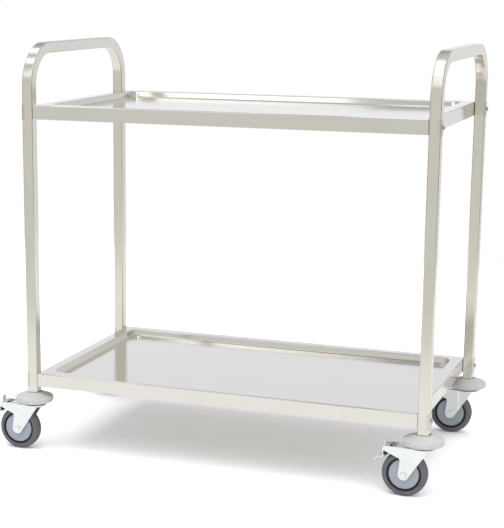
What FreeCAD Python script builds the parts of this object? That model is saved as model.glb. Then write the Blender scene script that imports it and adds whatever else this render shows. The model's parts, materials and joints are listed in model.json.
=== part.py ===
import FreeCAD, Part
import math
import os

# Two-shelf serving trolley in stainless steel on four swivel casters, in millimetres.
# The origin is on the floor under the middle of the frames: X along the shelves, Y to the back, Z up.

# Whole trolley, over the tubes
trolley_length = 950.0
trolley_depth = 530.0
trolley_height = 946.0

# End frames, each bent from one square tube
tube_side = 25.0
tube_wall = 1.5
tube_corner_radius = 3.0
bend_inner_radius = 75.0

# Pressed shelves between the frames
upper_shelf_height = 809.5
lower_shelf_height = 188.0
shelf_apron_height = 32.0
shelf_setback = 0.5
shelf_corner_radius = 3.0
shelf_rim_width = 28.0
shelf_recess_depth = 14.0
shelf_step_run = 4.0
shelf_recess_corner_radius = 24.0
shelf_hem_width = 12.0
sheet_thickness = 1.0
sheet_bend_radius = 2.5

# Clips and bolts that hold the shelves to the legs
clip_height = 34.0
clip_lip = 5.0
clip_thickness = 1.0
bolt_drop = 17.5
bolt_radius = 3.0
bolt_head_radius = 7.5
bolt_head_height = 4.5
bolt_socket_radius = 2.6
bolt_socket_depth = 2.4
bolt_tail = 2.0
washer_radius = 5.5
washer_thickness = 1.2
nut_corner_radius = 5.4
nut_height = 4.8

# Wheels
wheel_radius = 50.0
wheel_width = 28.0
tyre_depth = 11.5
tyre_shoulder_radius = 10.0
tyre_key_depth = 2.0
tyre_key_width = 8.0
core_rim_depth = 8.0
core_rim_recess = 3.5
core_web_width = 8.0
core_boss_radius = 11.0
cap_radius = 33.0
cap_thickness = 2.5
cap_recess = 1.2
cap_bevel = 1.2
bush_radius = 6.0

# Caster forks
caster_trail = 38.0
fork_side_gap = 2.5
fork_sheet = 2.5
fork_bend_radius = 2.0
fork_end_radius = 12.0
fork_lead_reach = 16.0
fork_crown_back = 56.0
fork_neck_back = 46.0
fork_neck_drop = 25.7
fork_neck_radius = 6.0
fork_skirt_reach = 83.5
fork_skirt_drop = 10.0
fork_joggle_back = 18.0
fork_joggle_run = 6.0
fork_joggle_depth = 1.2
crown_radius = 27.0
crown_thickness = 3.0
tyre_crown_gap = 8.0

# Axle bolts
axle_radius = 4.0
axle_head_radius = 7.0
axle_head_height = 4.0
axle_nut_radius = 7.2
axle_nut_height = 6.0
axle_tail = 2.0

# Swivel bearings and stems
ball_radius = 3.0
ball_count = 12
ball_ring_radius = 18.0
groove_depth = 1.0
race_radius = 27.0
race_thickness = 2.5
race_lip_width = 1.5
race_lip_drop = 2.5
stem_radius = 6.0
stem_head_radius = 10.0
stem_head_height = 5.0
stem_grip = 26.0

# Bumpers and leg plugs
bumper_radius = 44.0
bumper_rim_height = 13.0
bumper_rim_round = 5.0
bumper_seat = 16.5
bumper_socket_depth = 6.0
bumper_collar_radius = 20.0
plug_height = 28.0

# Brakes on the front casters
pedal_sheet = 2.0
pedal_bend_radius = 3.0
pedal_front = 59.0
pedal_pin_back = 64.0
pedal_pin_drop = 8.0
pedal_pin_radius = 2.5
pedal_eye_radius = 5.0
pedal_reach = 85.0
pedal_plate_front = 73.0
pedal_plate_drop = 3.0
pedal_cheek_drop = 10.5
pedal_wall_drop = 26.0
tongue_flat = 11.0
tongue_tip_run = 8.5
tongue_tip_drop = 12.0
tongue_corner_radius = 6.0
tab_height = 12.5
tab_lean = 1.5
tab_setback = 4.0
tab_inset = 6.0
shoe_front = 71.0
shoe_bottom_drop = 24.0
shoe_gap = 5.5

# Clearances
fit_clearance = 0.05
slip_clearance = 0.15
bolt_hole_clearance = 0.3
swivel_end_gap = 0.3
pedal_side_gap = 2.0
pedal_eye_gap = 0.5
socket_clearance = 1.0
cut_overrun = 5.0

# Heights that follow from the sizes above
axle_height = wheel_radius
crown_bottom = 2 * wheel_radius + tyre_crown_gap
crown_top = crown_bottom + crown_thickness
ball_height = crown_top + ball_radius - groove_depth
race_bottom = ball_height + ball_radius - groove_depth
race_top = race_bottom + race_thickness
leg_bottom = race_top + bumper_seat
bumper_top = leg_bottom + bumper_socket_depth

# Places that follow from the sizes above
leg_x = (trolley_length - tube_side) / 2
leg_y = (trolley_depth - tube_side) / 2
shelf_length = trolley_length - 2 * tube_side
shelf_depth = trolley_depth - 2 * shelf_setback
fork_inner = wheel_width / 2 + fork_side_gap
fork_outer = fork_inner + fork_sheet
pin_x = -pedal_pin_back
pin_z = crown_top - pedal_pin_drop
corners = {"front_left": (-1, -1), "front_right": (1, -1), "rear_left": (-1, 1), "rear_right": (1, 1)}
braked_corners = ("front_left", "front_right")
shelf_heights = {"upper": upper_shelf_height, "lower": lower_shelf_height}

V = FreeCAD.Vector
X_AXIS = V(1, 0, 0)
Y_AXIS = V(0, 1, 0)
Z_AXIS = V(0, 0, 1)


# Basic shapes


def block(low, high):
    size = [b - a for a, b in zip(low, high)]
    return Part.makeBox(*size, V(*low))


def rod(radius, start, end):
    line = V(*end) - V(*start)
    return Part.makeCylinder(radius, line.Length, V(*start), line)


def turned(points, axis=Z_AXIS):
    """Solid of revolution from (radius, height) points, about Z or about Y."""
    wire = Part.makePolygon([V(r, 0, h) for r, h in points + points[:1]])
    solid = Part.Face(wire).revolve(V(0, 0, 0), Z_AXIS, 360)
    if axis == Y_AXIS:
        solid.rotate(V(0, 0, 0), X_AXIS, -90)
    return solid


def side_plate(points, near, far):
    """Plate with an (x, z) outline, reaching from y = near to y = far."""
    wire = Part.makePolygon([V(x, near, z) for x, z in points + points[:1]])
    return Part.Face(wire).extrude(V(0, far - near, 0))


def hexagon(radius, start, length, direction):
    """Six-sided bar that starts at a point and runs along a direction."""
    turns = [math.radians(60 * n) for n in range(7)]
    wire = Part.makePolygon([V(radius * math.cos(t), radius * math.sin(t), 0) for t in turns])
    bar = Part.Face(wire).extrude(V(0, 0, length))
    bar.Placement = FreeCAD.Placement(V(*start), FreeCAD.Rotation(Z_AXIS, direction))
    return bar


def rounded_rectangle(width, depth, radius, height):
    """Closed wire about the Z axis, level, with round corners."""
    x, y = width / 2 - radius, depth / 2 - radius
    places = ((x, y, 0), (-x, y, 90), (-x, -y, 180), (x, -y, 270))
    arcs = [Part.makeCircle(radius, V(cx, cy, height), Z_AXIS, a, a + 90) for cx, cy, a in places]
    edges = []
    for here, following in zip(arcs, arcs[1:] + arcs[:1]):
        edges += [here, Part.makeLine(here.Vertexes[-1].Point, following.Vertexes[0].Point)]
    return Part.Wire(edges)


def level_edges(shape, height):
    """Edges of a shape that lie at one height."""
    reach = fit_clearance / 2
    return [e for e in shape.Edges if abs(e.BoundBox.ZMin - height) < reach and e.BoundBox.ZLength < reach]


def ring_of(piece_at):
    """One group of the same piece at every leg and shelf: piece_at(side_x, side_y, height)."""
    sides = [(sx, sy, top) for top in shelf_heights.values() for sx, sy in corners.values()]
    return Part.makeCompound([piece_at(sx, sy, top) for sx, sy, top in sides])


# End frames, shelves and what joins them


def frame_path(height):
    """Middle line of a frame tube at x = 0: up one leg, across the handle, down the other leg."""
    radius = bend_inner_radius + tube_side / 2
    y, top = leg_y, height - tube_side / 2
    diagonal = radius * math.sin(math.pi / 4)
    front, back = V(0, -y + radius, top - radius), V(0, y - radius, top - radius)
    rise, run = V(0, 0, radius), V(0, radius, 0)
    front_bend = Part.Arc(front - run, front + V(0, -diagonal, diagonal), front + rise)
    back_bend = Part.Arc(back + rise, back + V(0, diagonal, diagonal), back + run)
    return Part.Wire([
        Part.makeLine(V(0, -y, leg_bottom), front - run),
        front_bend.toShape(),
        Part.makeLine(front + rise, back + rise),
        back_bend.toShape(),
        Part.makeLine(back + run, V(0, y, leg_bottom)),
    ])


def frame_tube(side):
    """End frame with a hole through each leg for every shelf bolt."""
    path = frame_path(trolley_height)
    skins = []
    for inset in (0, tube_wall):
        width = tube_side - 2 * inset
        section = rounded_rectangle(width, width, tube_corner_radius - inset, leg_bottom)
        section.translate(V(0, -leg_y, 0))
        skins.append(path.makePipeShell([section], True, False))
    tube = skins[0].cut(skins[1])
    tube.translate(V(side * leg_x, 0, 0))
    reach = trolley_length / 2 + cut_overrun
    hole = bolt_radius + bolt_hole_clearance
    holes = [rod(hole, (0, sy * leg_y, bolt_height(top)), (side * reach, sy * leg_y, bolt_height(top)))
             for sy in (-1, 1) for top in shelf_heights.values()]
    return tube.cut(holes)


def bolt_height(shelf_top):
    return shelf_top - bolt_drop


def shelf_skin(top, inset):
    """Solid under one face of the sheet: inset 0 gives its outer face, the sheet thickness its inner."""
    rim_height = shelf_apron_height - inset
    corner = shelf_corner_radius - inset
    outline = rounded_rectangle(shelf_length - 2 * inset, shelf_depth - 2 * inset, corner, 0)
    body = Part.Face(outline).extrude(V(0, 0, rim_height))
    body = body.cut(shelf_recess(shelf_rim_width - inset, shelf_recess_corner_radius + inset, rim_height))
    body = body.makeFillet(sheet_bend_radius - inset, level_edges(body, rim_height))
    body = body.makeFillet(sheet_bend_radius + inset, level_edges(body, rim_height - shelf_recess_depth))
    body.translate(V(0, 0, top - shelf_apron_height))
    return body


def shelf_recess(rim, corner, rim_height):
    """Sunk space of a shelf: its sides slope in by the step run, and go on a little above the rim."""
    slope = shelf_step_run / shelf_recess_depth
    sections = []
    for rise in (-shelf_recess_depth, cut_overrun):
        side, round_corner = rim - slope * rise, corner + slope * rise
        width, depth = shelf_length - 2 * side, shelf_depth - 2 * side
        sections.append(rounded_rectangle(width, depth, round_corner, rim_height + rise))
    return Part.makeLoft(sections, True, True)


def shelf(top):
    """Pressed tray: flat rim, sunk floor, apron all round and a hem turned in under the apron."""
    bottom = top - shelf_apron_height
    sheet = shelf_skin(top, 0).cut(shelf_skin(top, sheet_thickness))
    outline = rounded_rectangle(shelf_length, shelf_depth, shelf_corner_radius, bottom)
    inner = rounded_rectangle(shelf_length - 2 * shelf_hem_width, shelf_depth - 2 * shelf_hem_width,
                              shelf_corner_radius, bottom)
    hem = Part.Face([outline, inner]).extrude(V(0, 0, sheet_thickness))
    tray = sheet.fuse(hem).removeSplitter()
    hole = bolt_radius + bolt_hole_clearance
    holes = [rod(hole, (sx * (shelf_length / 2 - shelf_hem_width), sy * leg_y, bolt_height(top)),
                 (sx * trolley_length / 2, sy * leg_y, bolt_height(top))) for sx, sy in corners.values()]
    return tray.cut(holes)


def leg_clip(sx, sy, top):
    """Channel that wraps the outer face of a leg at shelf height."""
    low, high = bolt_height(top) - clip_height / 2, bolt_height(top) + clip_height / 2
    face = trolley_length / 2
    half = tube_side / 2 + clip_thickness
    body = block((face - clip_lip, -half, low), (face + clip_thickness, half, high))
    upright = [e for e in body.Edges if e.BoundBox.ZLength > clip_height / 2]
    corner_edges = [e for e in upright if e.BoundBox.XMin > face]
    body = body.makeFillet(tube_corner_radius + clip_thickness, corner_edges)
    leg_side = tube_side + 2 * fit_clearance
    leg_outline = rounded_rectangle(leg_side, leg_side, tube_corner_radius + fit_clearance, low)
    leg = Part.Face(leg_outline).extrude(V(0, 0, clip_height))
    leg.translate(V(leg_x, 0, 0))
    hole = bolt_radius + bolt_hole_clearance
    bore = rod(hole, (leg_x, 0, bolt_height(top)), (face + cut_overrun, 0, bolt_height(top)))
    clip = body.cut([leg, bore])
    if sx < 0:
        clip.rotate(V(0, 0, 0), Z_AXIS, 180)
    clip.translate(V(0, sy * leg_y, 0))
    return clip


def shelf_bolt(sx, sy, top):
    """Dome-head bolt from the clip through the leg into the shelf, with a hexagon socket."""
    seat = trolley_length / 2 + clip_thickness
    tip = shelf_length / 2 - sheet_thickness - washer_thickness - nut_height - bolt_tail
    dome = Part.makeSphere((bolt_head_radius ** 2 + bolt_head_height ** 2) / (2 * bolt_head_height))
    dome.translate(V(seat + bolt_head_height - dome.BoundBox.XMax, 0, 0))
    head = dome.common(rod(bolt_head_radius, (seat, 0, 0), (seat + bolt_head_height, 0, 0)))
    socket = hexagon(bolt_socket_radius, (seat + bolt_head_height - bolt_socket_depth, 0, 0),
                     bolt_socket_depth + cut_overrun, X_AXIS)
    bolt = head.fuse(rod(bolt_radius, (tip, 0, 0), (seat, 0, 0))).removeSplitter().cut(socket)
    return at_joint(bolt, sx, sy, top)


def shelf_washer(sx, sy, top):
    outer = shelf_length / 2 - sheet_thickness
    ends = ((outer - washer_thickness, 0, 0), (outer, 0, 0))
    washer = rod(washer_radius, *ends).cut(rod(bolt_radius + slip_clearance, *ends))
    return at_joint(washer, sx, sy, top)


def shelf_nut(sx, sy, top):
    outer = shelf_length / 2 - sheet_thickness - washer_thickness
    nut = hexagon(nut_corner_radius, (outer - nut_height, 0, 0), nut_height, X_AXIS)
    nut = nut.cut(rod(bolt_radius + fit_clearance, (outer - nut_height, 0, 0), (outer, 0, 0)))
    return at_joint(nut, sx, sy, top)


def at_joint(piece, sx, sy, top):
    """Move a piece made at the right-hand end, on the X axis, to one leg and shelf."""
    if sx < 0:
        piece.rotate(V(0, 0, 0), Z_AXIS, 180)
    piece.translate(V(0, sy * leg_y, bolt_height(top)))
    return piece


# Casters, made about the Z axis with the wheel trailing towards -X


def leg_plug():
    """Plug in the leg's end that takes the stem."""
    side = tube_side - 2 * tube_wall - 2 * slip_clearance
    corner = tube_corner_radius - tube_wall
    plug = Part.Face(rounded_rectangle(side, side, corner, leg_bottom)).extrude(V(0, 0, plug_height))
    return plug.cut(rod(stem_radius + fit_clearance, (0, 0, leg_bottom), (0, 0, leg_bottom + plug_height)))


def bumper():
    """Round bumper with a square socket for the leg."""
    rim_top = race_top + bumper_rim_height
    bore = stem_radius + slip_clearance
    body = turned([(bore, race_top), (bumper_radius, race_top), (bumper_radius, rim_top),
                   (bumper_collar_radius, bumper_top), (bore, bumper_top)])
    rim_edges = [e for e in level_edges(body, race_top) + level_edges(body, rim_top)
                 if e.BoundBox.XLength > 2 * bumper_collar_radius]
    body = body.makeFillet(bumper_rim_round, rim_edges)
    side = tube_side + 2 * socket_clearance
    socket = Part.Face(rounded_rectangle(side, side, tube_corner_radius, leg_bottom))
    return body.cut(socket.extrude(V(0, 0, bumper_socket_depth + cut_overrun)))


def stem():
    """King bolt that carries the fork, from its head under the crown up into the leg plug."""
    head_top = crown_bottom - swivel_end_gap
    shank = rod(stem_radius, (0, 0, head_top), (0, 0, leg_bottom + stem_grip))
    head = rod(stem_head_radius, (0, 0, head_top - stem_head_height), (0, 0, head_top))
    return shank.fuse(head).removeSplitter()


def ball_groove():
    """Ring of the ball track, a little larger than the balls."""
    return Part.makeTorus(ball_ring_radius, ball_radius + fit_clearance, V(0, 0, ball_height))


def race():
    """Upper bearing race, clamped under the bumper, with a lip that covers the balls."""
    bore = stem_radius + fit_clearance
    lip_inner = race_radius - race_lip_width
    profile = [(bore, race_bottom), (lip_inner, race_bottom), (lip_inner, race_bottom - race_lip_drop),
               (race_radius, race_bottom - race_lip_drop), (race_radius, race_top), (bore, race_top)]
    return turned(profile).cut(ball_groove())


def balls():
    turns = [2 * math.pi * n / ball_count for n in range(ball_count)]
    places = [V(ball_ring_radius * math.cos(t), ball_ring_radius * math.sin(t), ball_height) for t in turns]
    return Part.makeCompound([Part.makeSphere(ball_radius, place) for place in places])


def touch_point(point, centre, radius, side):
    """Point where the line from a point meets a circle, on the side that is +1 or -1, in (x, z)."""
    dx, dz = point[0] - centre[0], point[1] - centre[1]
    angle = math.atan2(dz, dx) + side * math.acos(radius / math.hypot(dx, dz))
    return centre[0] + radius * math.cos(angle), centre[1] + radius * math.sin(angle)


def cheek_outline():
    """Outline of a fork cheek: crown edge, raked leg, round end at the axle, neck and skirt."""
    axle = (-caster_trail, axle_height)
    lead = (fork_lead_reach, crown_top)
    neck = (-fork_neck_back, crown_top - fork_neck_drop)
    skirt_low = (-fork_skirt_reach, crown_top - fork_skirt_drop)
    skirt_top = (-fork_skirt_reach, crown_top)
    front_touch = touch_point(lead, axle, fork_end_radius, -1)
    back_touch = touch_point(neck, axle, fork_end_radius, 1)
    end = (axle[0], axle[1] - fork_end_radius)
    corner_points = [V(x, 0, z) for x, z in (back_touch, neck, skirt_low, skirt_top, lead, front_touch)]
    lines = [Part.makeLine(a, b) for a, b in zip(corner_points, corner_points[1:])]
    arc = Part.Arc(corner_points[-1], V(end[0], 0, end[1]), corner_points[0])
    return Part.Wire(lines + [arc.toShape()]), V(neck[0], 0, neck[1])


def cheek_block():
    """Block as wide as the fork with the outline of its cheeks, the inner neck corner rounded."""
    wire, neck = cheek_outline()
    body = Part.Face(wire).extrude(V(0, 2 * fork_outer, 0))
    neck_edge = [e for e in body.Edges if e.BoundBox.YLength > fork_outer and
                 (V(e.CenterOfMass.x, 0, e.CenterOfMass.z) - neck).Length < fit_clearance]
    body = body.makeFillet(fork_neck_radius, neck_edge)
    body.translate(V(0, -fork_outer, 0))
    return body


def channel_block(inset):
    """Upright block with the fork's plan, inset from its outer faces: it narrows at the joggle."""
    turn = 2 * math.atan(fork_joggle_depth / fork_joggle_run)
    radius = fork_joggle_run / 2 / math.sin(turn)
    start = -fork_joggle_back - fork_joggle_run / 2
    end = start + fork_joggle_run
    first, second = V(start, radius - fork_outer, 0), V(end, fork_joggle_depth - radius - fork_outer, 0)

    def on_bend(centre, bend_radius, angle):
        return centre + V(math.sin(angle), -math.cos(angle), 0) * bend_radius

    entry = [on_bend(first, radius - inset, angle) for angle in (0, turn / 2, turn)]
    leave = [on_bend(second, -radius - inset, angle) for angle in (turn, turn / 2, 0)]
    back = V(-fork_skirt_reach - cut_overrun, inset - fork_outer, 0)
    front = V(fork_lead_reach + cut_overrun, inset - fork_outer + fork_joggle_depth, 0)
    near_side = [Part.makeLine(back, entry[0]), Part.Arc(*entry).toShape(),
                 Part.Arc(*leave).toShape(), Part.makeLine(leave[-1], front)]
    far_side = [edge.mirror(V(0, 0, 0), Y_AXIS) for edge in near_side]
    ends = [Part.makeLine(corner, V(corner.x, -corner.y, 0)) for corner in (back, front)]
    outline = Part.Wire(Part.sortEdges(near_side + far_side + ends)[0])
    return Part.Face(outline).extrude(V(0, 0, crown_top))


def fork(braked):
    """Pressed fork: two joggled cheeks, the crown between them and the round ball seat on top."""
    crown = block((-fork_crown_back, -fork_outer, crown_bottom), (fork_lead_reach, fork_outer, crown_top))
    outside, inside = channel_block(0), channel_block(fork_sheet)
    cheeks = cheek_block().common(outside.cut(inside))
    lead = touch_point((fork_lead_reach, crown_top), (-caster_trail, axle_height), fork_end_radius, -1)
    slope = (fork_lead_reach - lead[0]) / (crown_top - lead[1])
    nose = [(fork_lead_reach, crown_top), (fork_lead_reach, crown_bottom),
            (fork_lead_reach - slope * crown_thickness, crown_bottom)]
    crown = crown.cut(side_plate(nose, -fork_outer, fork_outer)).common(outside)
    channel = crown.fuse(cheeks).removeSplitter()
    side = fork_outer - fork_joggle_depth - fit_clearance
    long_edges = [e for e in level_edges(channel, crown_top) if e.BoundBox.XLength > fit_clearance and
                  min(abs(e.BoundBox.YMin), abs(e.BoundBox.YMax)) > side]
    channel = channel.makeFillet(fork_bend_radius, long_edges)
    seat = rod(crown_radius, (0, 0, crown_bottom), (0, 0, crown_top))
    body = channel.fuse(seat).removeSplitter()
    reach = fork_outer + cut_overrun
    low, high = crown_bottom - cut_overrun, crown_top + cut_overrun
    axle_ends = ((-caster_trail, -reach, axle_height), (-caster_trail, reach, axle_height))
    holes = [rod(stem_radius + fit_clearance, (0, 0, low), (0, 0, high)),
             rod(axle_radius + fit_clearance, *axle_ends), ball_groove()]
    if braked:
        holes.append(rod(pedal_pin_radius + fit_clearance, (pin_x, -reach, pin_z), (pin_x, reach, pin_z)))
    return body.cut(holes)


def at_axle(piece):
    """Move a piece made about the Y axis to the wheel's axle."""
    piece.translate(V(-caster_trail, 0, axle_height))
    return piece


def axle_bush():
    ends = ((0, -fork_inner, 0), (0, fork_inner, 0))
    return at_axle(rod(bush_radius, *ends).cut(rod(axle_radius + fit_clearance, *ends)))


def axle_bolt():
    """Axle bolt with a low round head against the front cheek."""
    tip = fork_outer + axle_nut_height + axle_tail
    head = rod(axle_head_radius, (0, -fork_outer - axle_head_height, 0), (0, -fork_outer, 0))
    rim = [e for e in head.Edges if e.BoundBox.YMax < -fork_outer - fit_clearance]
    head = head.makeFillet(axle_head_height / 2, rim)
    return at_axle(head.fuse(rod(axle_radius, (0, -fork_outer, 0), (0, tip, 0))).removeSplitter())


def axle_nut():
    nut = hexagon(axle_nut_radius, (0, fork_outer, 0), axle_nut_height, Y_AXIS)
    bore = rod(axle_radius + fit_clearance, (0, fork_outer, 0), (0, fork_outer + axle_nut_height, 0))
    return at_axle(nut.cut(bore))


def tyre():
    """Round-shouldered tyre, keyed to the core by a groove inside."""
    half, bore = wheel_width / 2, wheel_radius - tyre_depth
    key, key_half = bore + tyre_key_depth, tyre_key_width / 2
    body = turned([(bore, -half), (wheel_radius, -half), (wheel_radius, half), (bore, half),
                   (bore, key_half), (key, key_half), (key, -key_half), (bore, -key_half)])
    shoulders = [e for e in level_edges(body, -half) + level_edges(body, half)
                 if e.BoundBox.XLength > 2 * wheel_radius - tyre_depth]
    body = body.makeFillet(tyre_shoulder_radius, shoulders)
    body.rotate(V(0, 0, 0), X_AXIS, -90)
    return at_axle(body)


def wheel_core():
    """Moulded core: rim with the key, thin web and a boss that turns on the bush."""
    bore, boss_half = bush_radius + fit_clearance, wheel_width / 2
    rim, key_half, web_half = wheel_radius - tyre_depth, tyre_key_width / 2, core_web_width / 2
    key, rim_inner, rim_half = rim + tyre_key_depth, rim - core_rim_depth, boss_half - core_rim_recess
    half = [(bore, boss_half), (core_boss_radius, boss_half), (core_boss_radius, web_half),
            (rim_inner, web_half), (rim_inner, rim_half), (rim, rim_half), (rim, key_half), (key, key_half)]
    return at_axle(turned(half + [(r, -y) for r, y in reversed(half)], Y_AXIS))


def wheel_caps():
    """Pale side discs that cover the core's web, one on each side."""
    outer, inner = wheel_width / 2 - cap_recess, wheel_width / 2 - cap_recess - cap_thickness
    bore = core_boss_radius + slip_clearance
    seat, seat_depth = cap_seat_radius(), wheel_width / 2 - core_rim_recess
    profile = [(bore, inner), (seat, inner), (seat, seat_depth), (cap_radius, seat_depth),
               (cap_radius, outer - cap_bevel), (cap_radius - cap_bevel, outer), (bore, outer)]
    discs = [turned(profile, Y_AXIS), turned([(r, -y) for r, y in profile], Y_AXIS)]
    return Part.makeCompound([at_axle(disc) for disc in discs])


def cap_seat_radius():
    """Radius of the step that drops into the core's rim."""
    return wheel_radius - tyre_depth - core_rim_depth - slip_clearance


# Brake on a front caster


def pedal_pin():
    return rod(pedal_pin_radius, (pin_x, -fork_outer, pin_z), (pin_x, fork_outer, pin_z))


def bent_strip(points, half):
    """Sheet bent along an (x, z) line with rounded bends, reaching from y = -half to y = half."""
    stations = [V(x, 0, z) for x, z in points]
    edges, start = [], stations[0]
    for before, corner, after in zip(stations, stations[1:], stations[2:]):
        back, ahead = (before - corner).normalize(), (after - corner).normalize()
        half_turn = back.getAngle(ahead) / 2
        setback = pedal_bend_radius / math.tan(half_turn)
        depth = pedal_bend_radius / math.sin(half_turn) - pedal_bend_radius
        bend_start, bend_end = corner + back * setback, corner + ahead * setback
        edges.append(Part.makeLine(start, bend_start))
        edges.append(Part.Arc(bend_start, corner + (back + ahead).normalize() * depth, bend_end).toShape())
        start = bend_end
    edges.append(Part.makeLine(start, stations[-1]))
    run = stations[1] - stations[0]
    across, width = V(-run.z, 0, run.x).normalize() * (pedal_sheet / 2), V(0, half, 0)
    offsets = (across - width, across + width, width - across, -across - width, across - width)
    section = Part.makePolygon([stations[0] + offset for offset in offsets])
    return Part.Wire(edges).makePipeShell([section], True, False)


def pedal_level():
    """Height of the middle of the pedal's top plate, sunk a little below the crown."""
    return crown_top - pedal_plate_drop - pedal_sheet / 2


def pedal():
    """Pressed pedal: top plate, back wall, tongue to press, tab to release, cheeks with eyes for the pin."""
    half = fork_inner - pedal_side_gap
    back, level, under = -pedal_reach, pedal_level(), pedal_level() - pedal_sheet / 2
    tongue_level, tongue_bend = crown_top - pedal_wall_drop, back - tongue_flat
    tongue_tip = tongue_bend - tongue_tip_run
    plate_line = [(-pedal_plate_front, level), (back, level), (back, tongue_level), (tongue_bend, tongue_level),
                  (tongue_tip, tongue_level - tongue_tip_drop)]
    plate = bent_strip(plate_line, half)
    tip_edges = [e for e in plate.Edges if e.BoundBox.XMin < tongue_tip + pedal_sheet and
                 e.Length < pedal_sheet + fit_clearance]
    plate = plate.makeFillet(tongue_corner_radius, tip_edges)
    tab_foot = back + tab_setback
    tab = bent_strip([(tab_foot, level), (tab_foot, crown_top + tab_height / 2),
                      (tab_foot + tab_lean, crown_top + tab_height)], half - tab_inset)
    cheek_low = crown_top - pedal_cheek_drop
    cheek = [(back, under), (back, cheek_low), (pin_x - pedal_eye_radius, cheek_low), (pin_x, pin_z),
             (-pedal_front, pin_z), (-pedal_front, under)]
    pieces = [tab]
    for side in (-1, 1):
        inner, eye_end = side * (half - pedal_sheet), side * (fork_inner - pedal_eye_gap)
        pieces.append(side_plate(cheek, inner, side * half))
        pieces.append(rod(pedal_eye_radius, (pin_x, inner, pin_z), (pin_x, eye_end, pin_z)))
    body = plate.fuse(pieces).removeSplitter()
    pin_ends = ((pin_x, -fork_outer, pin_z), (pin_x, fork_outer, pin_z))
    return body.cut(rod(pedal_pin_radius + fit_clearance, *pin_ends))


def brake_shoe():
    """Block under the pedal's plate, hollowed to the tyre."""
    half = fork_inner - pedal_side_gap - pedal_sheet - slip_clearance
    back = pedal_bend_radius - pedal_reach
    body = block((back, -half, crown_top - shoe_bottom_drop), (-shoe_front, half, pedal_level() - pedal_sheet / 2))
    reach = fork_outer + cut_overrun
    return body.cut(rod(wheel_radius + shoe_gap, (-caster_trail, -reach, axle_height),
                        (-caster_trail, reach, axle_height)))


# Every node by its name


def place(piece, corner):
    sx, sy = corners[corner]
    return piece.translated(V(sx * leg_x, sy * leg_y, 0))


def trolley_nodes():
    nodes = {
        "left_frame": frame_tube(-1),
        "right_frame": frame_tube(1),
        "upper_shelf": shelf(upper_shelf_height),
        "lower_shelf": shelf(lower_shelf_height),
        "leg_clips": ring_of(leg_clip),
        "shelf_bolts": ring_of(shelf_bolt),
        "shelf_washers": ring_of(shelf_washer),
        "shelf_nuts": ring_of(shelf_nut),
        "leg_plugs": Part.makeCompound([place(leg_plug(), corner) for corner in corners]),
    }
    shared = {"bumper": bumper(), "stem": stem(), "race": race(), "balls": balls(), "bush": axle_bush(),
              "axle": axle_bolt(), "axle_nut": axle_nut(), "tyre": tyre(), "core": wheel_core(),
              "caps": wheel_caps()}
    brake = {"pedal": pedal(), "pedal_pin": pedal_pin(), "brake_shoe": brake_shoe()}
    for corner in corners:
        braked = corner in braked_corners
        pieces = dict(shared, fork=fork(braked), **(brake if braked else {}))
        for name, piece in pieces.items():
            nodes[corner + "_" + name] = place(piece, corner)
    return nodes


os.makedirs("parts", exist_ok=True)
for node, shape in trolley_nodes().items():
    shape.exportStep("parts/" + node + ".step")
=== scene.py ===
import json
import math

import bpy
from mathutils import Matrix, Vector


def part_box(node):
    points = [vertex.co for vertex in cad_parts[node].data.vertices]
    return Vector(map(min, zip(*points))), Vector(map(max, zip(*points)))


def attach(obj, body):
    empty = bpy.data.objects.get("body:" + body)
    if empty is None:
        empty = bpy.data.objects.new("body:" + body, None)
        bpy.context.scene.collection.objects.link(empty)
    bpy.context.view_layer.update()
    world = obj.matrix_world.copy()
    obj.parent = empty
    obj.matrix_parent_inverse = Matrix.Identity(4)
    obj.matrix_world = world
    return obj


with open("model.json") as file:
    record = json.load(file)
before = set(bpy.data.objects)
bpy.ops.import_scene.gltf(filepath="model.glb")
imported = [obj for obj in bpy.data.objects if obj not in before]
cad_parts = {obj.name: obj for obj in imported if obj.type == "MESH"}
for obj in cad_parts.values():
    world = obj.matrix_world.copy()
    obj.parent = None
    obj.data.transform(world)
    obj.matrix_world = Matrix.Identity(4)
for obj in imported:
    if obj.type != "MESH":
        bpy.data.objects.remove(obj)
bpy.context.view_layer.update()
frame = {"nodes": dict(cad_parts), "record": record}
nodes = frame["nodes"]

MM = 0.001
IMAGE_WIDTH, IMAGE_HEIGHT = 504, 528
BRAKED_CORNERS = ("front_left", "front_right")
TUBE, BEND_RADIUS = 25 * MM, 87.5 * MM
LEG_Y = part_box("left_frame")[1].y - TUBE / 2
HANDLE_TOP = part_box("left_frame")[1].z

# what polished steel sees of the studio, by the rise of the line of sight from -1, down, to 1, up
FRONT_ROOM = ((-1.0, "#E7E7E2"), (-0.2, "#E1E1DC"), (0.3, "#DEDEDC"), (0.6, "#C4C4C8"), (0.8, "#D4D4D8"))
BACK_LEFT = ((-1.0, "#E0E0DA"), (-0.12, "#E4E4E0"), (0.02, "#FAFAFF"), (0.12, "#FAFAFF"), (0.32, "#F4F5FC"),
             (0.42, "#ACACAC"), (0.62, "#AEAEAE"), (0.76, "#CFCFCF"), (1.0, "#E8E8EA"))
BACK_RIGHT = ((-1.0, "#F0F0EE"), (-0.15, "#EEF0F8"), (0.0, "#EEF0F6"), (0.15, "#E4E4E2"), (0.45, "#DADAD8"),
              (0.7, "#C8C8C6"), (1.0, "#E0E0E0"))
END_WALLS = ((-1.0, "#DADAD5"), (-0.4, "#BEBEBB"), (-0.05, "#929290"), (0.12, "#B8B8B6"), (0.4, "#C4C4C2"),
             (1.0, "#E8E8EA"))
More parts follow.
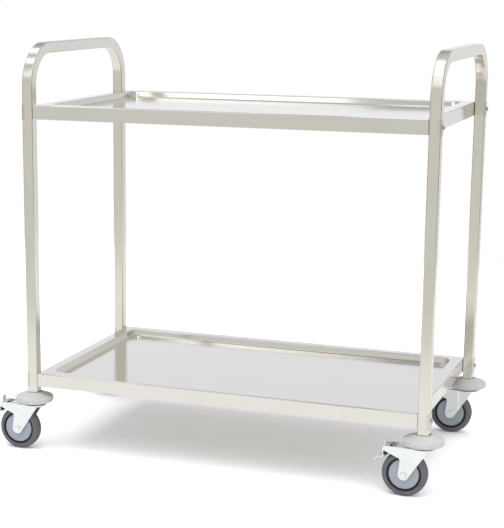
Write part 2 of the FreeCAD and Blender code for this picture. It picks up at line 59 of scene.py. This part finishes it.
# name, place, point it is aimed at, width and height in metres, watts
SOFTBOXES = (
    ("front_softbox", (0.3, -2.15, 3.3), (0.3, 0, 0.8), 0.7, 2.4, 10),
    ("low_softbox", (-1.05, -2.1, 2.2), (0, 0, 0.8), 1.0, 0.9, 2.9),
    ("right_softbox", (1.45, -2.1, 1.66), (0, 0, 0.3), 0.8, 0.7, 0.9),
    ("top_softbox", (-0.15, -0.6, 3.4), (-0.15, -0.5, 0.8), 0.5, 2.0, 4),
    ("side_softbox", (-1.87, 0.6, 3.45), (0, 0, 0.6), 0.8, 0.6, 2.4),
    ("left_softbox", (-1.8, -1.1, 3.4), (0, 0, 0.8), 0.6, 0.6, 2.3),
)


# Colours, shader nodes and objects


def linear(hex_colour):
    """sRGB hex colour as linear red, green, blue and alpha."""
    shares = [int(hex_colour[i:i + 2], 16) / 255 for i in (1, 3, 5)]
    return [c / 12.92 if c <= 0.04045 else ((c + 0.055) / 1.055) ** 2.4 for c in shares] + [1.0]


def add(tree, kind, inputs=None, **settings):
    """New shader node: settings are its properties, inputs are values or the sockets to link from."""
    node = tree.nodes.new("ShaderNode" + kind)
    for name, value in settings.items():
        setattr(node, name, value)
    for socket, value in (inputs or {}).items():
        if isinstance(value, bpy.types.NodeSocket):
            tree.links.new(value, node.inputs[socket])
        else:
            node.inputs[socket].default_value = value
    return node


def new_finish(name, **sockets):
    """Material with one Principled surface: sockets holds the values that are the same all over it."""
    material = bpy.data.materials.new(name)
    material.use_nodes = True
    tree = material.node_tree
    surface = tree.nodes["Principled BSDF"]
    for socket, value in sockets.items():
        surface.inputs[socket.replace("_", " ")].default_value = value
    return material, tree, surface


def feed(tree, surface, **sockets):
    """Link the values that vary over a surface to its sockets."""
    for socket, value in sockets.items():
        tree.links.new(value, surface.inputs[socket.replace("_", " ")])


def mirror_rays(tree, path):
    """1 where metal or glass is looking, 0 elsewhere."""
    return add(tree, "Math", {0: path.outputs["Is Glossy Ray"], 1: path.outputs["Is Transmission Ray"]},
               operation="MAXIMUM").outputs[0]


def put_in_scene(name, data):
    """New object of that name, linked to the scene."""
    piece = bpy.data.objects.new(name, data)
    bpy.context.scene.collection.objects.link(piece)
    return piece


# Materials


def polished_tube():
    """Stainless steel square tube, polished lengthwise with a belt: a warm pale metal whose long fine lines
    keep reflections sharp along the tube and draw them out across it."""
    # belt lines are about 0.2 mm apart: drawn 2 mm apart and 120 mm long, so that they show
    line_gap, line_length, cloud_size = 2 * MM, 120 * MM, 90 * MM
    bend_y, bend_z = LEG_Y - BEND_RADIUS, HANDLE_TOP - TUBE / 2 - BEND_RADIUS
    material, tree, surface = new_finish("stainless_tube_polished", Metallic=1.0, Roughness=0.22,
                                         Anisotropic=0.4)
    place = add(tree, "TexCoord").outputs["Object"]
    axes = add(tree, "SeparateXYZ", {0: place})
    depth = add(tree, "Math", {0: axes.outputs["Y"]}, operation="ABSOLUTE")
    over_y = add(tree, "Math", {0: depth.outputs[0], 1: bend_y}, operation="SUBTRACT", use_clamp=True)
    over_z = add(tree, "Math", {0: axes.outputs["Z"], 1: bend_z}, operation="SUBTRACT", use_clamp=True)
    offset = add(tree, "CombineXYZ", {"Y": over_y.outputs[0], "Z": over_z.outputs[0]})
    across = add(tree, "VectorMath", {0: offset.outputs[0]}, operation="LENGTH").outputs["Value"]
    along = add(tree, "Math", {0: axes.outputs["Z"], 1: depth.outputs[0]}, operation="SUBTRACT").outputs[0]
    grain_place = add(tree, "CombineXYZ", {"X": axes.outputs["X"], "Y": across, "Z": along}).outputs[0]
    scaled = add(tree, "VectorMath", {0: grain_place, 1: [1 / line_gap, 1 / line_gap, 1 / line_length]},
                 operation="MULTIPLY").outputs[0]
    lines = add(tree, "TexNoise", {"Vector": scaled, "Scale": 1.0, "Detail": 3.0,
                                   "Roughness": 0.6}).outputs["Fac"]
    cloud = add(tree, "TexNoise", {"Vector": place, "Scale": 1 / cloud_size, "Detail": 2.0}).outputs["Fac"]
    tone = add(tree, "MixRGB", {"Fac": cloud, "Color1": linear("#DEDACF"),
                                "Color2": linear("#E5E1D7")}).outputs[0]
    dull = add(tree, "MapRange", {"Value": lines, "To Min": 0.16, "To Max": 0.28}).outputs[0]
    bump = add(tree, "Bump", {"Height": lines, "Strength": 0.02, "Distance": 0.03 * MM}).outputs[0]
    # the lines follow the tube round its bends, and the sheen is drawn out square to them
    side = add(tree, "Math", {0: axes.outputs["Y"]}, operation="SIGN").outputs[0]
    outward = add(tree, "VectorMath", {0: offset.outputs[0]}, operation="NORMALIZE").outputs[0]
    signed = add(tree, "CombineXYZ", {"X": 0.0, "Y": side, "Z": 1.0}).outputs[0]
    cross_grain = add(tree, "VectorMath", {0: outward, 1: signed, 2: [1, 0, 0]},
                      operation="MULTIPLY_ADD").outputs[0]
    feed(tree, surface, Base_Color=tone, Roughness=dull, Normal=bump, Tangent=cross_grain)
    return material


def polished_sheet():
    """Stainless steel sheet, cold rolled and bright polished along the shelf: nearly a mirror, soft along the
    depth because of the rolling lines, with faint clouds from cleaning."""
    # rolling lines are about 0.1 mm apart: drawn 1.5 mm apart and 300 mm long, so that they show
    line_gap, line_length, cloud_size = 1.5 * MM, 300 * MM, 140 * MM
    material, tree, surface = new_finish("stainless_sheet_polished", Metallic=1.0, Roughness=0.12,
                                         Anisotropic=0.3)
    place = add(tree, "TexCoord").outputs["Object"]
    scaled = add(tree, "VectorMath", {0: place, 1: [1 / line_length, 1 / line_gap, 1 / line_gap]},
                 operation="MULTIPLY").outputs[0]
    lines = add(tree, "TexNoise", {"Vector": scaled, "Scale": 1.0, "Detail": 3.0,
                                   "Roughness": 0.6}).outputs["Fac"]
    cloud = add(tree, "TexNoise", {"Vector": place, "Scale": 1 / cloud_size, "Detail": 3.0}).outputs["Fac"]
    tone = add(tree, "MixRGB", {"Fac": cloud, "Color1": linear("#DDDBD4"),
                                "Color2": linear("#E3E1DB")}).outputs[0]
    wiped = add(tree, "MapRange", {"Value": cloud, "To Min": 0.01, "To Max": 0.05}).outputs[0]
    dull = add(tree, "MapRange", {"Value": lines, "To Min": 0.06, "To Max": 0.12}).outputs[0]
    both = add(tree, "Math", {0: wiped, 1: dull}, operation="ADD").outputs[0]
    bump = add(tree, "Bump", {"Height": lines, "Strength": 0.02, "Distance": 0.02 * MM}).outputs[0]
    cross_grain = add(tree, "CombineXYZ", {"Y": 1.0, "Z": 0.3}).outputs[0]
    feed(tree, surface, Base_Color=tone, Roughness=both, Normal=bump, Tangent=cross_grain)
    return material


def grained_finish(name, dark, light, grain_mm, low, high, bump_mm, **sockets):
    """Surface with an even, fine mottle: two colours, a range of roughness and a bump from one noise."""
    fine_size, wide_size = grain_mm * MM, 12 * grain_mm * MM
    material, tree, surface = new_finish(name, **sockets)
    place = add(tree, "TexCoord").outputs["Object"]
    fine = add(tree, "TexNoise", {"Vector": place, "Scale": 1 / fine_size, "Detail": 4.0}).outputs["Fac"]
    wide = add(tree, "TexNoise", {"Vector": place, "Scale": 1 / wide_size, "Detail": 2.0}).outputs["Fac"]
    tone = add(tree, "MixRGB", {"Fac": wide, "Color1": linear(dark), "Color2": linear(light)}).outputs[0]
    dull = add(tree, "MapRange", {"Value": fine, "To Min": low, "To Max": high}).outputs[0]
    bump = add(tree, "Bump", {"Height": fine, "Strength": 0.3, "Distance": bump_mm * MM}).outputs[0]
    feed(tree, surface, Base_Color=tone, Roughness=dull, Normal=bump)
    return material


finishes = {
    "stainless_tube": polished_tube(),
    "stainless_sheet": polished_sheet(),
    # stainless clip, pressed from strip and left with its mill finish: duller and darker than the tube
    "clip_steel": grained_finish("stainless_clip_mill_finish", "#D0CDC3", "#DAD7CE",
                                 1.5, 0.24, 0.32, 0.02, Metallic=1.0),
    # steel fastener, barrel plated with bright nickel: small sharp highlights
    "bright_fastener": grained_finish("steel_nickel_plated", "#BDBAB3", "#CFCCC6",
                                      0.8, 0.10, 0.18, 0.01, Metallic=1.0),
    # steel pressing, bright zinc plated and blue passivated: a cold white metal with a slightly milky sheen
    "zinc_plate": grained_finish("steel_zinc_plated_blue", "#F2F7F7", "#FAFDFD",
                                 2.0, 0.30, 0.44, 0.02, Metallic=1.0),
    # bearing steel, hardened and ground: a grey sharp metal
    "bearing_steel": grained_finish("bearing_steel_ground", "#A2A3A6", "#B9BABC",
                                    1.0, 0.16, 0.26, 0.01, Metallic=1.0),
    # polyethylene bumper, injection moulded with a spark-eroded grain: a pale grey with a soft broad sheen
    "bumper_plastic": grained_finish("polyethylene_moulded_grained", "#D2D2CF", "#DADAD7",
                                     0.9, 0.42, 0.56, 0.05, IOR=1.51),
    # polypropylene plug, injection moulded: plain black, half gloss
    "plug_plastic": grained_finish("polypropylene_moulded_black", "#1B1B1C", "#242425",
                                   1.0, 0.45, 0.55, 0.02, IOR=1.49),
    # thermoplastic rubber tyre, moulded: a dry mid grey with a fine tooth
    "tyre_rubber": grained_finish("thermoplastic_rubber_moulded", "#6C6C71", "#78787D",
                                  0.7, 0.62, 0.78, 0.05, IOR=1.5, Specular_IOR_Level=0.3),
    # polypropylene wheel core, injection moulded: nearly black, half gloss
    "core_plastic": grained_finish("polypropylene_moulded_core", "#16171E", "#1F2129",
                                   1.0, 0.42, 0.55, 0.02, IOR=1.49),
    # polypropylene side disc, injection moulded: blue grey with a satin sheen
    "cap_plastic": grained_finish("polypropylene_moulded_disc", "#AAB0BB", "#B2B8C3",
                                  1.0, 0.36, 0.48, 0.02, IOR=1.49),
    # nitrile rubber brake block, moulded: dull black
    "shoe_rubber": grained_finish("nitrile_rubber_moulded", "#1D1D1F", "#29292B",
                                  0.8, 0.60, 0.75, 0.05, IOR=1.52),
}
# zinc-plated bearing race, coloured dark grey as painted shade for the shadowed gap between the bumper and the
# fork's crown
race_in_painted_shade = grained_finish("steel_zinc_plated_painted_shade", "#6E706F", "#858785",
                              1.5, 0.22, 0.38, 0.02, Metallic=1.0)
# spring wire, cold drawn and zinc plated: a grey wire with a thin bright line along each turn
spring_wire = grained_finish("spring_wire_zinc_plated", "#A9AEAC", "#BCC1BF",
                             0.8, 0.20, 0.32, 0.01, Metallic=1.0)
slot_of = {part["node"]: part["material_slot"] for part in frame["record"]["subparts"]}
for name, piece in nodes.items():
    piece.data.materials.clear()
    # the bearing races take the dark grey of painted shade, the rest the finish of their slot
    piece.data.materials.append(race_in_painted_shade if name.endswith("_race") else finishes[slot_of[name]])


# Springs of the brake pedals


def spring_line(middle):
    """Middle line of the spring's wire: close turns round the pin, with a straight leg at each end."""
    turns, steps = 9, 24
    coil_radius, pitch = 4.1 * MM, 1.35 * MM
    crown_leg, pedal_leg = 14 * MM, 7.5 * MM
    line = [middle + Vector((crown_leg, -turns * pitch / 2, coil_radius))]
    for i in range(turns * steps + 1):
        angle = math.radians(90) + 2 * math.pi * i / steps
        line.append(middle + Vector((coil_radius * math.cos(angle), (i / steps - turns / 2) * pitch,
                                     coil_radius * math.sin(angle))))
    line.append(middle + Vector((-pedal_leg, turns * pitch / 2, coil_radius)))
    return line


def brake_spring(corner):
    """Torsion spring round the pedal's pin, one leg under the crown and the other towards the pedal."""
    sides, wire_radius = 10, 0.6 * MM
    low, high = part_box(f"{corner}_pedal_pin")
    line = spring_line((low + high) / 2)
    points, faces = [], []
    for i, place in enumerate(line):
        tangent = (line[min(i + 1, len(line) - 1)] - line[max(i - 1, 0)]).normalized()
        inward = tangent.cross(Vector((0, 1, 0))).normalized()
        across = tangent.cross(inward)
        for k in range(sides):
            turn = 2 * math.pi * k / sides
            points.append(place + (inward * math.cos(turn) + across * math.sin(turn)) * wire_radius)
    for i in range(len(line) - 1):
        for k in range(sides):
            here, after = i * sides + k, i * sides + (k + 1) % sides
            faces.append((here, after, after + sides, here + sides))
    faces.append(tuple(reversed(range(sides))))
    faces.append(tuple(range(len(points) - sides, len(points))))
    mesh = bpy.data.meshes.new(f"{corner}_brake_spring")
    mesh.from_pydata(points, [], faces)
    mesh.shade_smooth()
    mesh.materials.append(spring_wire)
    spring = put_in_scene(f"{corner}_brake_spring", mesh)
    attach(spring, f"{corner}_caster")


for corner in BRAKED_CORNERS:
    brake_spring(corner)


# Floor, studio and camera


def studio_floor():
    """White paper floor: a matt sheet that stays white to the eye and keeps the soft shadow of the trolley."""
    half_width, front, back = 2.6, -1.5, 2.4
    fibre_size, white_share = 2 * MM, 0.25
    mesh = bpy.data.meshes.new("studio_floor")
    mesh.from_pydata([(-half_width, front, 0), (half_width, front, 0), (half_width, back, 0),
                      (-half_width, back, 0)], [], [(0, 1, 2, 3)])
    floor = put_in_scene("studio_floor", mesh)
    material, tree, surface = new_finish("paper_matt_white", Roughness=0.9, Specular_IOR_Level=0.0)
    place = add(tree, "TexCoord").outputs["Object"]
    fibre = add(tree, "TexNoise", {"Vector": place, "Scale": 1 / fibre_size}).outputs["Fac"]
    tone = add(tree, "MixRGB", {"Fac": fibre, "Color1": linear("#F9F9FA"),
                                "Color2": linear("#FCFCFD")}).outputs[0]
    feed(tree, surface, Base_Color=tone)
    path = add(tree, "LightPath")
    # metal sees part of the paper as plain white
    share = add(tree, "Math", {0: mirror_rays(tree, path), 1: white_share}, operation="MULTIPLY").outputs[0]
    white = add(tree, "Emission", {"Color": linear("#FFFFF4"), "Strength": 1.0}).outputs[0]
    paper = add(tree, "MixShader", {0: share, 1: surface.outputs[0], 2: white}).outputs[0]
    # the eye sees the paper lifted to white, with the shadow lifted by the same share
    lift = add(tree, "MixRGB", {"Fac": path.outputs["Is Camera Ray"], "Color1": linear("#000000"),
                                "Color2": linear("#C0C0C4")}).outputs[0]
    whitening = add(tree, "BsdfDiffuse", {"Color": lift}).outputs[0]
    shown = add(tree, "AddShader", {0: paper, 1: whitening}).outputs[0]
    tree.links.new(shown, tree.nodes["Material Output"].inputs["Surface"])
    mesh.materials.append(material)


def studio_world():
    """White surround for the eye, an even light on the trolley, and for metal a room with a bright back wall,
    a dimmer front and dim ends."""
    world = bpy.data.worlds.new("studio")
    bpy.context.scene.world = world
    world.use_nodes = True
    tree = world.node_tree
    tree.nodes.clear()
    axes = add(tree, "SeparateXYZ", {0: add(tree, "TexCoord").outputs["Generated"]})
    height = add(tree, "MapRange", {"Value": axes.outputs["Z"], "From Min": -1.0, "From Max": 1.0}).outputs[0]
    walls = []
    for stops in (FRONT_ROOM, BACK_LEFT, BACK_RIGHT, END_WALLS):
        ramp = add(tree, "ValToRGB", {0: height})
        while len(ramp.color_ramp.elements) < len(stops):
            ramp.color_ramp.elements.new(0.5)
        for element, (rise, colour) in zip(ramp.color_ramp.elements, stops):
            element.position, element.color = (rise + 1) / 2, linear(colour)
        walls.append(ramp.outputs[0])
    front_wall, back_left_wall, back_right_wall, end_wall = walls
    backward = add(tree, "MapRange", {"Value": axes.outputs["Y"], "From Min": -0.4, "From Max": 0.4},
                   interpolation_type="SMOOTHSTEP").outputs[0]
    right_half = add(tree, "MapRange", {"Value": axes.outputs["X"], "From Min": -0.2, "From Max": 0.2},
                     interpolation_type="SMOOTHSTEP").outputs[0]
    sideways = add(tree, "Math", {0: axes.outputs["X"]}, operation="ABSOLUTE").outputs[0]
    endward = add(tree, "MapRange", {"Value": sideways, "From Min": 0.72, "From Max": 0.9},
                  interpolation_type="SMOOTHSTEP").outputs[0]
    back_wall = add(tree, "MixRGB", {"Fac": right_half, "Color1": back_left_wall,
                                     "Color2": back_right_wall}).outputs[0]
    long_walls = add(tree, "MixRGB", {"Fac": backward, "Color1": front_wall, "Color2": back_wall}).outputs[0]
    room = add(tree, "MixRGB", {"Fac": endward, "Color1": long_walls, "Color2": end_wall}).outputs[0]
    rightward = add(tree, "MapRange", {"Value": axes.outputs["X"], "From Min": -1.0,
                                       "From Max": 1.0}).outputs[0]
    even = add(tree, "MixRGB", {"Fac": rightward, "Color1": linear("#B0B0B3"),
                                "Color2": linear("#E4E4E7")}).outputs[0]
    path = add(tree, "LightPath")
    lit = add(tree, "MixRGB", {"Fac": mirror_rays(tree, path), "Color1": even, "Color2": room}).outputs[0]
    seen = add(tree, "MixRGB", {"Fac": path.outputs["Is Camera Ray"], "Color1": lit,
                                "Color2": linear("#FFFFFF")}).outputs[0]
    surround = add(tree, "Background", {"Color": seen, "Strength": 1.0}).outputs[0]
    add(tree, "OutputWorld", {"Surface": surround})


def hang_lamp(name, lamp, place, target):
    """Lamp hung at a place and aimed at a target."""
    piece = put_in_scene(name, lamp)
    piece.location = place
    piece.rotation_euler = (Vector(target) - Vector(place)).to_track_quat("-Z", "Y").to_euler()
    return piece


def overhead_panel():
    """Wide overhead panel, far away: even light on the whole floor and a very soft shadow."""
    lamp = bpy.data.lights.new("overhead_panel", "SUN")
    lamp.energy, lamp.angle = 1.2, math.radians(60)
    panel = hang_lamp("overhead_panel", lamp, (0, -0.6, 4), (0, 0, 0))
    panel.visible_glossy = False


def softbox(name, place, target, width, height, watts):
    """Small studio lamp with a flat bright face, seen in the polished metal."""
    lamp = bpy.data.lights.new(name, "AREA")
    lamp.shape = "RECTANGLE"
    lamp.size, lamp.size_y, lamp.energy = width, height, watts
    hang_lamp(name, lamp, place, target)


def photo_camera():
    """Camera at the photograph's place, turn, tilt and framing."""
    azimuth, elevation, roll = math.radians(20.894), math.radians(12.372), math.radians(0.247)
    distance, focal_px, centre_px = 3.58306, 1486.29, (190.48, 309.21)
    target = Vector((-0.16812, 0, 0.31009))
    back = Vector((math.sin(azimuth) * math.cos(elevation), -math.cos(azimuth) * math.cos(elevation),
                   math.sin(elevation)))
    right = Vector((math.cos(azimuth), math.sin(azimuth), 0))
    up = back.cross(right)
    rolled_right = right * math.cos(roll) + up * math.sin(roll)
    rolled_up = up * math.cos(roll) - right * math.sin(roll)
    lens = bpy.data.cameras.new("photo_camera")
    lens.sensor_width = 36.0
    lens.lens = focal_px * lens.sensor_width / IMAGE_HEIGHT
    lens.shift_x = (IMAGE_WIDTH / 2 - centre_px[0]) / IMAGE_HEIGHT
    lens.shift_y = (centre_px[1] - IMAGE_HEIGHT / 2) / IMAGE_HEIGHT
    lens.clip_end = 100
    camera = put_in_scene("photo_camera", lens)
    turn = Matrix((rolled_right, rolled_up, back)).transposed().to_4x4()
    camera.matrix_world = Matrix.Translation(target + back * distance) @ turn
    bpy.context.scene.camera = camera


studio_floor()
studio_world()
overhead_panel()
for box in SOFTBOXES:
    softbox(*box)
photo_camera()
bpy.context.scene.view_settings.view_transform = "Standard"
